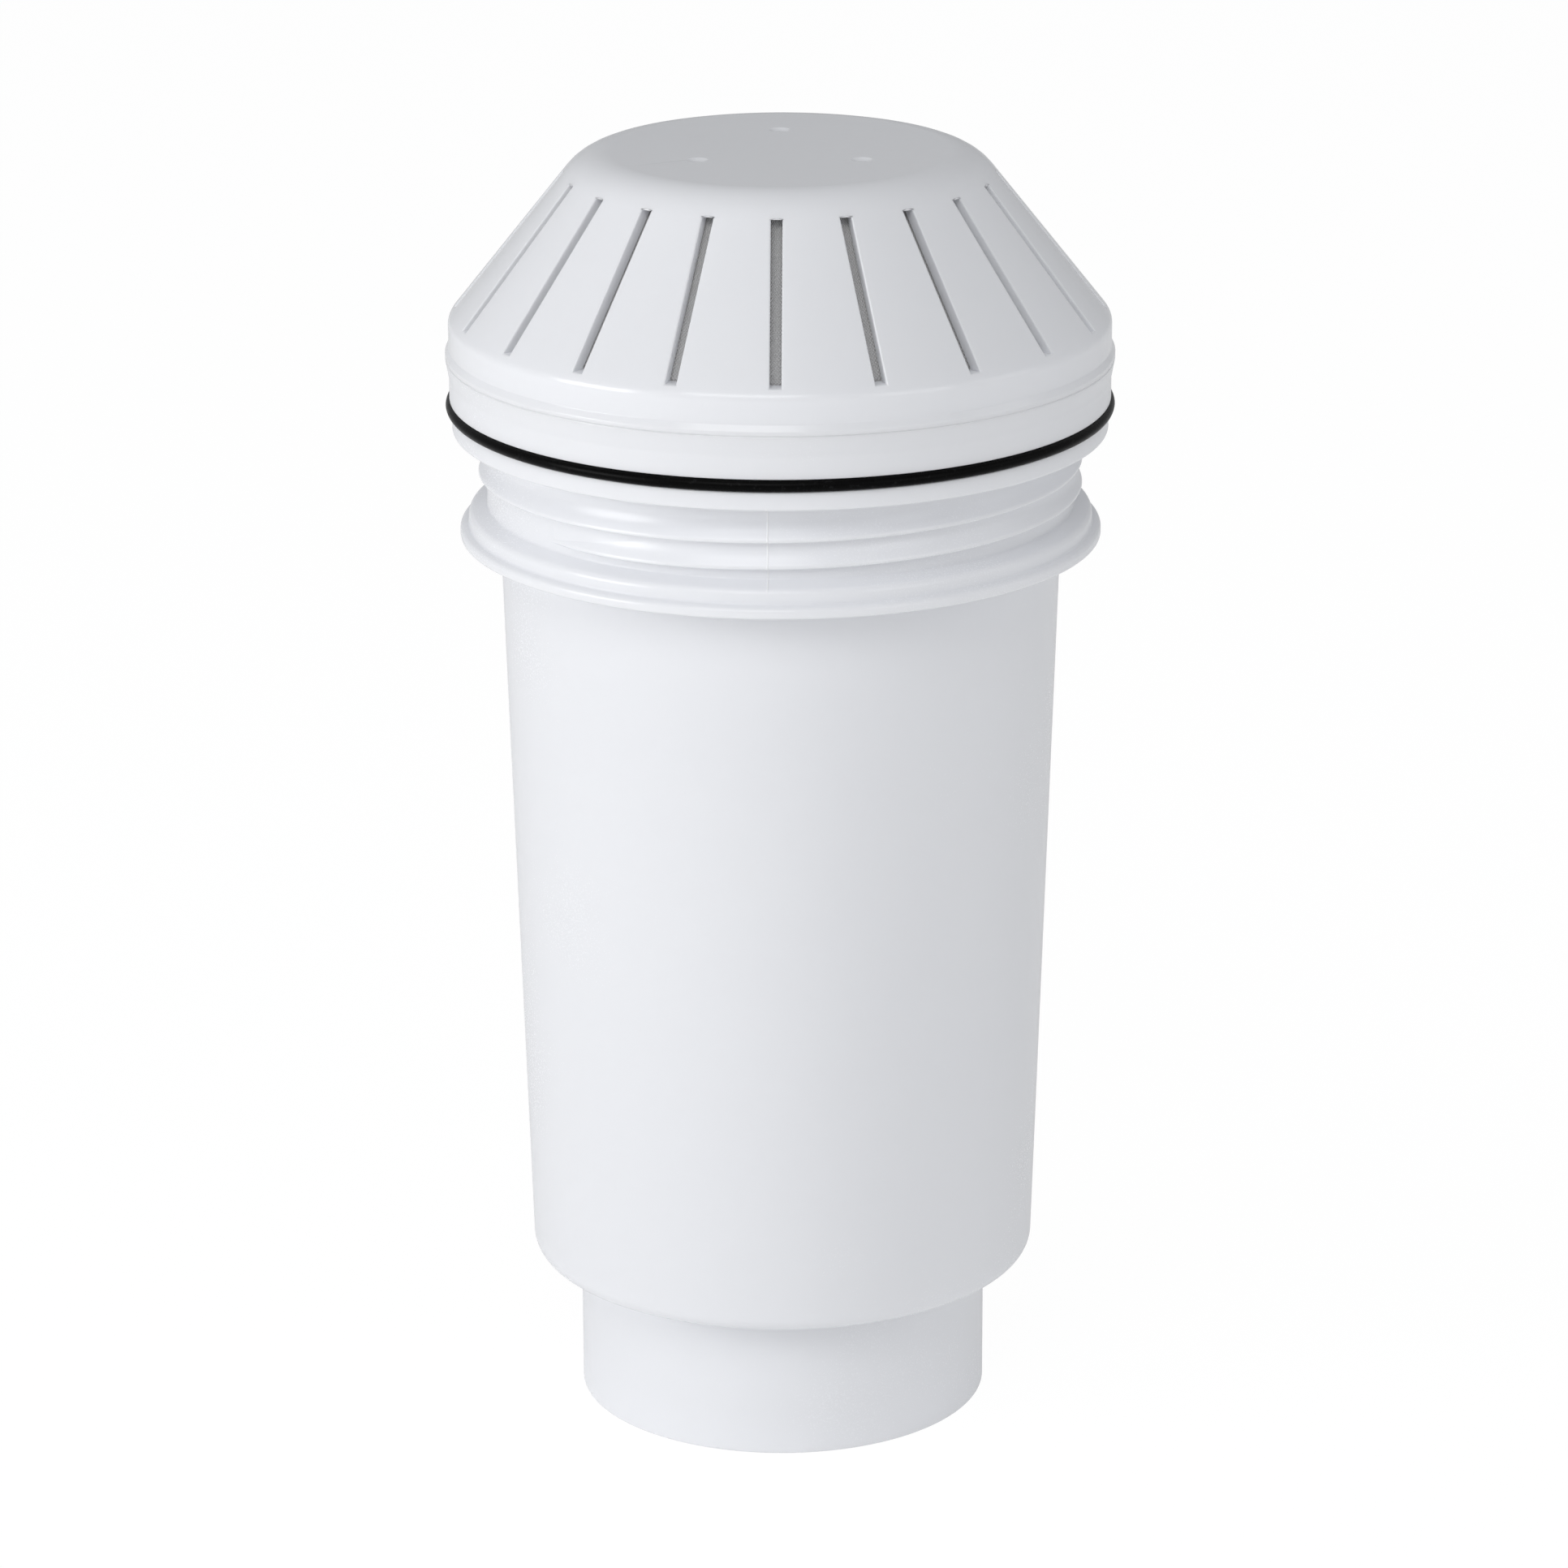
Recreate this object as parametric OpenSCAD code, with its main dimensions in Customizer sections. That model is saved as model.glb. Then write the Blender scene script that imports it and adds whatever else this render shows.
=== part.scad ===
// Water pitcher filter cartridge: a tapered cup with a threaded neck and a sealing collar,
// closed by a slotted conical strainer cap. The treatment beds, pads and screens are inside.
// Millimetres, +Z up, axis of the cartridge on Z, rim of the outlet spigot at Z = 0.

/* [Outlet spigot] */
// Outer radius of the spigot
spigot_r = 27; // [24:0.1:30]
// Height from the rim of the spigot to the underside of the body
spigot_h = 19.6; // [14:0.1:26]
// Wall of the spigot
spigot_wall = 2; // [1.4:0.1:3]
// Depth of the recess under the outlet grille
recess_h = 3; // [1:0.1:6]
// Thickness of the outlet grille
grille_t = 2; // [1.2:0.1:3]
// Slots in the inner ring of the grille
inner_slots = 10; // [6:1:12]
// Slots in the outer ring of the grille
outer_slots = 20; // [12:1:24]
// Width of a grille slot
grille_slot_w = 1.4; // [0.8:0.1:1.8]
// Length of a grille slot
grille_slot_len = 6.5; // [4:0.1:7.5]
// Radius of the solid hub of the grille
grille_hub_r = 5.5; // [4:0.1:6]
// Solid ring between the two rings of slots
grille_web = 2.5; // [1.5:0.1:3.5]

/* [Body] */
// Outer radius of the body just under the flange
body_top_r = 36.3; // [35:0.1:37.3]
// Height of the body from its underside to the flange
body_h = 99.1; // [70:0.1:130]
// Draft of the body wall, in degrees
body_draft = 1.76; // [0.5:0.02:2.4]
// Wall of the body
body_wall = 1.8; // [1.2:0.1:2.4]
// Thickness of the floor round the spigot
floor_t = 1.8; // [1.2:0.1:3]
// Fillet round the lower corner of the body
body_corner_r = 2.3; // [0.5:0.1:2.8]

/* [Flange] */
// How far the flange lip stands out past the body
flange_w = 5.15; // [4:0.05:8]
// Thickness of the flange lip at its rim
flange_t = 1.3; // [0.9:0.1:2.4]
// How far the stop ring is set in from the edge of the lip
lip_w = 1.15; // [0.8:0.05:1.6]
// Height of the stop ring above the lip
stop_h = 1.7; // [1.2:0.1:4]
// Rise of the shoulder from the stop ring to the neck
shoulder_h = 0.9; // [0.4:0.1:2]

/* [Neck] */
// How far the root of the neck's thread stands out past the body
neck_step = 1.6; // [1:0.05:2.2]
// Height of the neck between the shoulder and the collar
neck_h = 9.9; // [7:0.1:16]
// Fillet between the neck and the underside of the collar
neck_cove_r = 1.6; // [0.4:0.1:3]

/* [Collar] */
// How far the flange below the seal is set in from the land above it
lower_land_step = 0.3; // [0:0.05:0.6]
// Height of the flange below the seal
lower_land_h = 2.4; // [1:0.05:4]
// How far the land above the seal stands out past the neck
collar_step = 4.65; // [4:0.05:7]
// Height of the land and its flared rim, from the groove to the joint with the cap
land_h = 5.54; // [4.4:0.05:8]
// How far the joint stands out past the land
joint_flare = 0.45; // [0.1:0.05:0.8]
// Height of the flared part below the joint
flare_h = 2.6; // [1:0.1:3.5]
// Wall of the collar inside the seal groove
groove_wall = 2.42; // [1.6:0.02:3]
// Wall of the collar outside the tongue of the cap
rebate_wall = 1.3; // [1:0.1:1.8]

/* [Seal] */
// Diameter of the cord of the O-ring
seal_d = 1.56; // [1.3:0.02:2.2]
// How far the O-ring stands out past the land
seal_stand = 0.48; // [0.2:0.02:0.8]
// Free width of the groove beside the cord
groove_play = 0.1; // [0.1:0.02:0.8]

/* [Strainer cap] */
// Height of the cap from the joint to its top
cap_h = 26.35; // [22:0.05:32]
// Height of the skirt, from the joint to the foot of the cone
skirt_h = 4.75; // [4:0.05:8]
// How far the cone draws in, from the skirt to the flat top
cone_run = 17.2; // [12:0.05:20]
// Wall of the cone
cone_wall = 1.6; // [1.2:0.1:2]
// Wall of the flat top
cap_top_wall = 1.8; // [1.2:0.1:2.2]
// Wall of the skirt
skirt_wall = 2.95; // [2.4:0.05:3.5]
// Fillet between the skirt and the cone
cap_shoulder_r = 1.5; // [0.5:0.1:6]
// Fillet round the flat top
cap_edge_r = 6.9; // [2:0.1:8]
// Height of the rim above the joint
cap_rim_h = 1; // [0.5:0.1:2]
// Depth of the tongue below the joint
tongue_h = 2.5; // [1.5:0.1:3]
// Slots round the cone
slot_count = 20; // [12:1:28]
// Width of a slot
slot_w = 1.45; // [0.8:0.05:2.4]
// Height of the lower end of a slot above the joint
slot_low = 5.7; // [4.5:0.1:9]
// Depth of the upper end of a slot below the flat top
slot_drop = 2.85; // [2.6:0.05:6]
// Turn of the first slot from the front, in degrees
slot_turn = -0.8; // [-9:0.1:9]
// Gate dimples on the flat top
gate_count = 3; // [2:1:6]
// Radius of the circle of gate dimples
gate_circle_r = 12; // [6:0.5:18]
// Radius of a gate dimple
gate_r = 1.4; // [0.4:0.1:2]
// Depth of a gate dimple
gate_depth = 0.3; // [0.1:0.05:0.6]

/* [Inlet screen] */
// Thickness of the screen frame
frame_t = 1.5; // [1:0.1:2.5]
// Width of the rim of the screen frame
frame_rim_w = 4; // [3:0.1:6]
// Spokes of the screen frame
frame_spokes = 6; // [4:1:10]
// Width of a spoke
spoke_w = 1.6; // [1:0.1:3]
// Radius of the hub of the screen frame
frame_hub_r = 4.5; // [3:0.1:8]
// Thickness of the mesh sleeve that lines the cone
inlet_mesh_t = 0.4; // [0.2:0.05:0.8]
// How far the mesh sleeve laps past the upper ends of the slots
mesh_lap = 0.2; // [0.1:0.05:0.3]

/* [Beds] */
// Thickness of the foam pad that spreads the water
foam_t = 4.2; // [2:0.1:4.4]
// Thickness of the felt pad over the carbon
upper_felt_t = 2.5; // [1.5:0.1:5]
// Depth of the carbon bed
carbon_h = 52; // [30:0.5:70]
// Thickness of the felt pad between the beds
middle_felt_t = 3; // [1.5:0.1:6]
// Thickness of the felt pad over the outlet
lower_felt_t = 3; // [1.5:0.1:5]
// Thickness of the outlet mesh
outlet_mesh_t = 0.3; // [0.2:0.05:0.8]

/* [Fits] */
// Radial clearance of a piece that drops into a bore
drop_gap = 0.15; // [0.05:0.01:0.3]
// Clearance of the O-ring over the floor of its groove
seal_gap = 0.05; // [0:0.01:0.1]
// Small round on moulded edges
edge_r = 0.3; // [0.1:0.05:0.4]

/* [Hidden] */
$fn = 96;
arc_step = 15;
cut_over = 1;
front = -90;
full_turn = 360;
back_gate = 90;

spigot_bore_r = spigot_r - spigot_wall;
grille_top = recess_h + grille_t;
floor_top = spigot_h + floor_t;
flange_z = spigot_h + body_h;
stop_z = flange_z + flange_t + edge_r;
stop_top = stop_z + stop_h;
neck_z = stop_top + shoulder_h;
collar_z = neck_z + neck_h;
groove_z = collar_z + lower_land_h;
groove_top = groove_z + seal_d + groove_play;
joint_z = groove_top + land_h;
flange_r = body_top_r + flange_w;
stop_r = flange_r - lip_w;
neck_r = body_top_r + neck_step;
land_r = neck_r + collar_step;
lower_land_r = land_r - lower_land_step;
joint_r = land_r + joint_flare;
groove_r = land_r + seal_stand - seal_d - seal_gap;
collar_bore_r = groove_r - groove_wall;
rebate_r = land_r - rebate_wall;
tongue_z = joint_z - tongue_h;
rebate_z = tongue_z - frame_t;
ledge_z = rebate_z - foam_t;
cap_z = joint_z + cap_h;
skirt_r = land_r;
skirt_bore_r = skirt_r - skirt_wall;
cap_top_r = skirt_r - cone_run;
cone_angle = atan(cone_run / (cap_h - skirt_h));
tongue_r = rebate_r - drop_gap;
carbon_top = ledge_z - upper_felt_t;
carbon_z = carbon_top - carbon_h;
middle_felt_z = carbon_z - middle_felt_t;
lower_felt_z = grille_top + outlet_mesh_t;
resin_z = lower_felt_z + lower_felt_t;
outer_ring_r = grille_hub_r + grille_slot_len + grille_web;

// Outer radius of the body wall at a height
function body_r(z) = body_top_r - (flange_z - z) * tan(body_draft);

// Inner radius of the body wall at a height
function bore_r(z) = body_r(z) - body_wall;

// Height at which the cone, set in by a wall, reaches a radius
function cone_z(r, wall) = cap_z - (r + wall / cos(cone_angle) - cap_top_r) / tan(cone_angle);

// Radius of the cone, set in by a wall, at a height
function cone_r(z, wall) = cap_top_r + (cap_z - z) * tan(cone_angle) - wall / cos(cone_angle);

// Points of one corner of an outline, rounded by an arc that touches both of its sides
function corner(before, at, after, fillet) =
    let (a = before - at)
    let (b = after - at)
    let (half = acos((a * b) / (norm(a) * norm(b))) / 2)
    let (reach = min(fillet / tan(half), min(norm(a), norm(b)) / 2))
    let (r = reach * tan(half))
    let (mid = a / norm(a) + b / norm(b))
    let (centre = at + mid / norm(mid) * r / sin(half))
    let (start = at + a / norm(a) * reach - centre)
    let (from = atan2(start.y, start.x))
    let (sweep = sign(a.x * b.y - a.y * b.x) * (2 * half - 180))
    let (steps = ceil(abs(sweep) / arc_step))
    [for (i = [0:steps]) centre + r * turned_by(from + sweep * i / steps)];

// Unit vector at an angle
function turned_by(angle) = [cos(angle), sin(angle)];

// An outline of [radius, height, fillet] points, each fillet drawn as an arc
function rounded(path) = [for (i = [0:len(path) - 1])
    let (at = path[i])
    let (before = path[(i + len(path) - 1) % len(path)])
    let (after = path[(i + 1) % len(path)])
    each at.z == 0 ? [place(at)] : corner(place(before), place(at), place(after), at.z)];
function place(point) = [point.x, point.y];

// A solid turned about the axis from a rounded outline
module turned(path) {
    rotate_extrude() polygon(rounded(path));
}

// A flat round pad on a given height
module pad(z, r, t) {
    translate([0, 0, z]) cylinder(r = r, h = t);
}

// A ring of slots cut through the outlet grille
module grille_slots(count, from_r) {
    for (i = [0:count - 1]) {
        rotate([0, 0, front + i * full_turn / count])
            translate([from_r, -grille_slot_w / 2, recess_h - cut_over])
            cube([grille_slot_len, grille_slot_w, grille_t + 2 * cut_over]);
    }
}

// One moulding: spigot with its grille, tapered body, flange, neck and collar
module housing() {
    color("white") difference() {
        turned([
            [0, recess_h, 0],
            [spigot_bore_r, recess_h, edge_r],
            [spigot_bore_r, 0, edge_r],
            [spigot_r, 0, edge_r],
            [spigot_r, spigot_h, edge_r],
            [body_r(spigot_h), spigot_h, body_corner_r],
            [body_top_r, flange_z, edge_r],
            [flange_r, flange_z, edge_r],
            [flange_r, flange_z + flange_t, 2 * edge_r],
            [stop_r, stop_z, edge_r],
            [stop_r, stop_top, 2 * edge_r],
            [neck_r, neck_z, edge_r],
            [neck_r, collar_z, neck_cove_r],
            [lower_land_r, collar_z, edge_r],
            [lower_land_r, groove_z, edge_r / 2],
            [groove_r, groove_z, edge_r / 2],
            [groove_r, groove_top, edge_r / 2],
            [land_r, groove_top, edge_r / 2],
            [land_r, joint_z - flare_h, flare_h],
            [joint_r, joint_z - edge_r, edge_r / 2],
            [joint_r - edge_r / 2, joint_z, 0],
            [rebate_r, joint_z, 0],
            [rebate_r, rebate_z, 0],
            [collar_bore_r, rebate_z, 0],
            [collar_bore_r, ledge_z, 0],
            [bore_r(ledge_z), ledge_z, 0],
            [bore_r(floor_top), floor_top, body_corner_r / 2],
            [spigot_bore_r, floor_top, edge_r],
            [spigot_bore_r, grille_top, 0],
            [0, grille_top, 0]
        ]);
        grille_slots(inner_slots, grille_hub_r);
        grille_slots(outer_slots, outer_ring_r);
    }
}

// Slotted conical cap, with the tongue that is welded into the collar
module strainer_cap() {
    color("whitesmoke") difference() {
        turned([
            [tongue_r, tongue_z, edge_r / 2],
            [tongue_r, joint_z, 0],
            [joint_r - edge_r / 2, joint_z, 0],
            [joint_r, joint_z + edge_r, edge_r / 2],
            [joint_r, joint_z + cap_rim_h, edge_r],
            [skirt_r, joint_z + cap_rim_h, edge_r / 2],
            [skirt_r, cone_z(skirt_r, 0), cap_shoulder_r],
            [cap_top_r, cap_z, cap_edge_r],
            [0, cap_z, 0],
            [0, cap_z - cap_top_wall, 0],
            [cone_r(cap_z - cap_top_wall, cone_wall), cap_z - cap_top_wall, cap_edge_r / 2],
            [skirt_bore_r, cone_z(skirt_bore_r, cone_wall), cap_shoulder_r / 2],
            [skirt_bore_r, tongue_z, edge_r / 2]
        ]);
        cap_slots();
        cap_gates();
    }
}

// Slots through the cone, with level ends
module cap_slots() {
    for (i = [0:slot_count - 1]) {
        rotate([0, 0, front + slot_turn + i * full_turn / slot_count])
            translate([0, -slot_w / 2, joint_z + slot_low])
            cube([skirt_r + cut_over, slot_w, cap_h - slot_low - slot_drop]);
    }
}

// Dimples that the moulding gates leave on the flat top
module cap_gates() {
    for (i = [0:gate_count - 1]) {
        rotate([0, 0, back_gate + i * full_turn / gate_count])
            translate([gate_circle_r, 0, cap_z - gate_depth])
            cylinder(r1 = gate_r / 2, r2 = gate_r, h = gate_depth);
    }
}

// Rubber seal in the groove of the collar
module o_ring() {
    color("black")
        translate([0, 0, groove_z + groove_play / 2 + seal_d / 2])
        rotate_extrude() translate([groove_r + seal_gap + seal_d / 2, 0]) circle(d = seal_d);
}

// Moulded wheel over the foam, gripped under the tongue of the cap
module screen_frame() {
    frame_bore_r = tongue_r - frame_rim_w;
    color("gainsboro") translate([0, 0, rebate_z]) union() {
        difference() {
            cylinder(r = tongue_r, h = frame_t);
            translate([0, 0, -cut_over]) cylinder(r = frame_bore_r, h = frame_t + 2 * cut_over);
        }
        cylinder(r = frame_hub_r, h = frame_t);
        for (i = [0:frame_spokes - 1]) {
            rotate([0, 0, front + i * full_turn / frame_spokes])
                translate([0, -spoke_w / 2, 0])
                cube([frame_bore_r + frame_rim_w / 2, spoke_w, frame_t]);
        }
    }
}

// Woven sleeve that lines the cone behind the slots and stands on the screen frame
module inlet_mesh() {
    skin = cone_wall + drop_gap;
    back = skin + inlet_mesh_t;
    mesh_r = skirt_bore_r - drop_gap;
    back_r = mesh_r - inlet_mesh_t;
    mesh_top = cap_z - slot_drop + mesh_lap;
    color("silver") turned([
        [back_r, tongue_z, 0],
        [mesh_r, tongue_z, 0],
        [mesh_r, cone_z(mesh_r, skin), cap_shoulder_r / 2],
        [cone_r(mesh_top, skin), mesh_top, 0],
        [cone_r(mesh_top, back), mesh_top, 0],
        [back_r, cone_z(back_r, back), cap_shoulder_r / 2]
    ]);
}

// Open foam that spreads the water over the bed
module foam_distributor() {
    color("lightgray") pad(ledge_z, collar_bore_r - drop_gap, foam_t);
}

// Felt pad flush with the ledge of the collar
module upper_felt() {
    color("ivory") pad(carbon_top, bore_r(carbon_top) - drop_gap, upper_felt_t);
}

// Carbon granules between the upper and middle felts
module carbon_bed() {
    color("dimgray") turned([
        [0, carbon_z, 0],
        [bore_r(carbon_z) - drop_gap, carbon_z, 0],
        [bore_r(carbon_top) - drop_gap, carbon_top, 0],
        [0, carbon_top, 0]
    ]);
}

// Felt pad that keeps the two beds apart
module middle_felt() {
    color("ivory") pad(middle_felt_z, bore_r(middle_felt_z) - drop_gap, middle_felt_t);
}

// Resin beads that fill the lower body and the spigot
module resin_bed() {
    color("goldenrod") turned([
        [0, resin_z, 0],
        [spigot_bore_r - drop_gap, resin_z, 0],
        [spigot_bore_r - drop_gap, floor_top + drop_gap, 0],
        [bore_r(floor_top) - body_corner_r / 2, floor_top + drop_gap, 0],
        [bore_r(floor_top + body_corner_r) - drop_gap, floor_top + body_corner_r, 0],
        [bore_r(middle_felt_z) - drop_gap, middle_felt_z, 0],
        [0, middle_felt_z, 0]
    ]);
}

// Felt pad on the outlet mesh
module lower_felt() {
    color("ivory") pad(lower_felt_z, spigot_bore_r - drop_gap, lower_felt_t);
}

// Fine woven disc on the outlet grille
module outlet_mesh() {
    color("silver") pad(grille_top, spigot_bore_r - drop_gap, outlet_mesh_t);
}

housing();
strainer_cap();
o_ring();
screen_frame();
inlet_mesh();
foam_distributor();
upper_felt();
carbon_bed();
middle_felt();
resin_bed();
lower_felt();
outlet_mesh();
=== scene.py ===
# %% [markdown]
# A water pitcher filter cartridge, dressed for a studio picture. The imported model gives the
# frame: every piece below is made in metres, in the same place as its solid.

# %% Load the frame
from math import atan2, ceil, cos, degrees, hypot, pi, radians, sin, tan

import bmesh
import bpy
from mathutils import Matrix, Vector


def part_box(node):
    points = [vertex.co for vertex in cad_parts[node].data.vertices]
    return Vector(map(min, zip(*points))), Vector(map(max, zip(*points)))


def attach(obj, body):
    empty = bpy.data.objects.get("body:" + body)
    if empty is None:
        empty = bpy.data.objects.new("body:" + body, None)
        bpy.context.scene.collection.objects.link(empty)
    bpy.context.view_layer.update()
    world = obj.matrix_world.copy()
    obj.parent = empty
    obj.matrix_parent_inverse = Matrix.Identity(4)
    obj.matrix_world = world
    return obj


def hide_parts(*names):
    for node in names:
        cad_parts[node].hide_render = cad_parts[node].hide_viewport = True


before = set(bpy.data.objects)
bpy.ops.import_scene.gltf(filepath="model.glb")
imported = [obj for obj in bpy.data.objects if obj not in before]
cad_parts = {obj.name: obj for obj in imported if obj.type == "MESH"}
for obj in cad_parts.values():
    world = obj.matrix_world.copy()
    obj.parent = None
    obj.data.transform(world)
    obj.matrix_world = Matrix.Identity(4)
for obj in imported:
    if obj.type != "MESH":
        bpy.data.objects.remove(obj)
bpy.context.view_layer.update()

MM = 0.001

# %% [markdown]
# The photograph was taken with a long lens from a little above the cartridge. The values were
# fitted to its outline, so the camera comes first and nothing is placed by eye.

# %% The camera
CAMERA_PLACE = Vector((0, -0.7670021, 0.3356903))
CAMERA_PITCH = radians(18.17754)
CAMERA_YAW = radians(0.02635)
CAMERA_ROLL = radians(-0.15017)
SENSOR_WIDTH, FOCAL_LENGTH = 36, 141.0038
lens = bpy.data.cameras.new("camera")
lens.sensor_width = SENSOR_WIDTH
lens.lens = FOCAL_LENGTH
camera = bpy.data.objects.new("camera", lens)
bpy.context.scene.collection.objects.link(camera)
camera.matrix_world = (
    Matrix.Translation(CAMERA_PLACE)
    @ Matrix.Rotation(-CAMERA_YAW, 4, "Z")
    @ Matrix.Rotation(pi / 2 - CAMERA_PITCH, 4, "X")
    @ Matrix.Rotation(CAMERA_ROLL, 4, "Z")
)
bpy.context.scene.camera = camera
bpy.context.scene.view_settings.view_transform = "Standard"
print("camera looks down by", round(degrees(CAMERA_PITCH), 1), "degrees")

# %% [markdown]
# Every moulded part of the cartridge is turned about one axis. Its outline is a list of corners,
# each with a radius, a height and a fillet in millimetres, as a drawing would give them. The
# helper below rounds the corners. It also puts two points on each long line, close to its ends,
# so that a flat wall keeps its own shade and only the fillet blends.

# %% Round the corners of an outline
ARC_STEP = radians(9)
LEAST_TURN, LEAST_ARC = 0.01, 3
HOLD, SHORTEST = 0.35, 0.001


def rounded(outline):
    """The points of an outline of (radius, height, fillet) corners, in millimetres."""
    points = [Vector(outline[0][:2])]
    for before, at, after in zip(outline, outline[1:], outline[2:]):
        corner = Vector(at[:2])
        back = (Vector(before[:2]) - corner).normalized()
        on = (Vector(after[:2]) - corner).normalized()
        turn = pi - back.angle(on)
        if at[2] == 0 or turn < LEAST_TURN:
            points.append(corner)
            continue
        reach = at[2] * tan(turn / 2)
        centre = corner + (back + on).normalized() * hypot(at[2], reach)
        start = corner + back * reach - centre
        side = 1 if back.x * on.y - back.y * on.x < 0 else -1
        pieces = max(LEAST_ARC, ceil(turn / ARC_STEP))
        for k in range(pieces + 1):
            angle = side * turn * k / pieces
            spoke = Vector((start.x * cos(angle) - start.y * sin(angle),
                            start.x * sin(angle) + start.y * cos(angle)))
            points.append(centre + spoke)
    points.append(Vector(outline[-1][:2]))
    return points


def held(points):
    """The same points, with two more on each long line to hold the shade of the wall."""
    result = [points[0]]
    for start, end in zip(points, points[1:]):
        length = (end - start).length
        if length > 4 * HOLD:
            result.append(start.lerp(end, HOLD / length))
            result.append(end.lerp(start, HOLD / length))
        if length > SHORTEST:
            result.append(end)
    return result


square = rounded([(0, 0, 0), (9, 0, 2), (9, 9, 0)])
print("a 2 mm fillet in a square corner takes", len(square), "points")

# %% [markdown]
# A turned shape starts from one vertex. A plane is added and merged to its centre, moved to the
# first point of the outline, extruded from point to point, and spun round the axis. Merging the
# doubles closes the seam and the poles.

# %% Turn an outline into a piece
FILLET_SMOOTH, RIDGE_SMOOTH, CAP_SMOOTH = radians(32), radians(40), radians(15)
DOUBLES = 0.002


def deselect():
    if bpy.context.mode != "OBJECT":
        bpy.ops.object.mode_set(mode="OBJECT")
    bpy.ops.object.select_all(action="DESELECT")


def only(piece):
    """Makes one piece the active and only selected object."""
    deselect()
    piece.select_set(True)
    bpy.context.view_layer.objects.active = piece


def thread_points(name, points):
    """A new object in edit mode that holds the points, in millimetres, as one open line."""
    deselect()
    bpy.context.tool_settings.mesh_select_mode = (True, False, False)
    bpy.ops.mesh.primitive_plane_add(size=MM)
    piece = bpy.context.object
    piece.name = piece.data.name = name
    bpy.ops.object.mode_set(mode="EDIT")
    bpy.ops.mesh.select_all(action="SELECT")
    bpy.ops.mesh.merge(type="CENTER")
    bpy.ops.transform.translate(value=(points[0].x * MM, 0, points[0].y * MM))
    for start, end in zip(points, points[1:]):
        step = ((end.x - start.x) * MM, 0, (end.y - start.y) * MM)
        bpy.ops.mesh.extrude_region_move(TRANSFORM_OT_translate={"value": step})
    bpy.ops.mesh.select_all(action="SELECT")
    return piece


def close_up(piece, smooth=FILLET_SMOOTH):
    """Merges the doubles, turns the faces outwards and shades the fillets smoothly."""
    only(piece)
    bpy.ops.object.mode_set(mode="EDIT")
    bpy.ops.mesh.select_all(action="SELECT")
    bpy.ops.mesh.remove_doubles(threshold=DOUBLES * MM)
    bpy.ops.mesh.normals_make_consistent(inside=False)
    bpy.ops.object.mode_set(mode="OBJECT")
    bpy.ops.object.shade_smooth_by_angle(angle=smooth)


def lathe(name, points, steps):
    """A piece turned about the upright axis from its outline."""
    piece = thread_points(name, points)
    bpy.ops.mesh.spin(steps=steps, angle=2 * pi, center=(0, 0, 0), axis=(0, 0, 1))
    close_up(piece)
    return piece


def pick(piece, kind, test):
    """Selects the vertices, edges or faces of a piece whose middle, in millimetres, passes."""
    only(piece)
    mesh = piece.data
    for items in (mesh.vertices, mesh.edges, mesh.polygons):
        items.foreach_set("select", [False] * len(items))
    for item in getattr(mesh, kind):
        if kind == "vertices":
            middle = item.co
        elif kind == "edges":
            middle = (mesh.vertices[item.vertices[0]].co + mesh.vertices[item.vertices[1]].co) / 2
        else:
            middle = item.center
        item.select = bool(test(middle / MM))
    modes = {"vertices": (True, False, False), "edges": (False, True, False),
             "polygons": (False, False, True)}
    bpy.context.tool_settings.mesh_select_mode = modes[kind]
    bpy.ops.object.mode_set(mode="EDIT")


def blend(piece, other, operation):
    """Joins the other shape to the piece, or takes it out, and drops it from the scene."""
    only(piece)
    step = piece.modifiers.new("blend", "BOOLEAN")
    step.operation = operation
    step.solver = "EXACT"
    step.object = other
    bpy.ops.object.modifier_apply(modifier=step.name)
    bpy.data.objects.remove(other, do_unlink=True)


def report(piece):
    """Prints the size of a piece and the edges that don't join exactly two faces."""
    mesh = piece.data
    loose = bmesh.new()
    loose.from_mesh(mesh)
    open_edges = sum(1 for edge in loose.edges if not edge.is_manifold)
    loose.free()
    corners = [vertex.co / MM for vertex in mesh.vertices]
    low = [round(min(corner[axis] for corner in corners), 2) for axis in range(3)]
    high = [round(max(corner[axis] for corner in corners), 2) for axis in range(3)]
    print(piece.name, len(mesh.polygons), "faces, from", low, "to", high,
          "open edges:", open_edges)


# %% [markdown]
# The housing is one moulding. From below it has the outlet spigot with a slotted grille, the
# tapered body, the flange with its stop ring, the neck, and the collar that holds the seal. Its
# own solid is turned in facets for weight, so a finer turning with softer edges replaces it.

# %% The outline of the housing
EDGE, WELD = 0.3, 0.14
ROOT_FILLET, JOINT_FLARE = 1.6, 2.6
SPIGOT_R, SPIGOT_BORE_R, SPIGOT_H = 27.0, 25.0, 19.6
BODY_TOP_R, BODY_DRAFT, BODY_WALL, BODY_CORNER = 36.3, radians(1.76), 1.8, 2.3
FLANGE_Z, FLANGE_R, FLANGE_T = 118.7, 41.45, 1.3
STOP_R, STOP_Z, STOP_TOP = 40.3, 120.3, 122.0
NECK_R, NECK_Z, COLLAR_Z = 37.9, 122.9, 132.8
LOWER_LAND_R, LAND_R, GROOVE_R = 42.25, 42.55, 41.42
GROOVE_Z, GROOVE_TOP, JOINT_Z, JOINT_R = 135.2, 136.86, 142.4, 43.0
COLLAR_BORE_R, REBATE_R, REBATE_Z, LEDGE_Z = 39.0, 41.25, 138.4, 134.2
FLOOR_TOP, GRILLE_Z, GRILLE_TOP = 21.4, 3.0, 5.0


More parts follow.
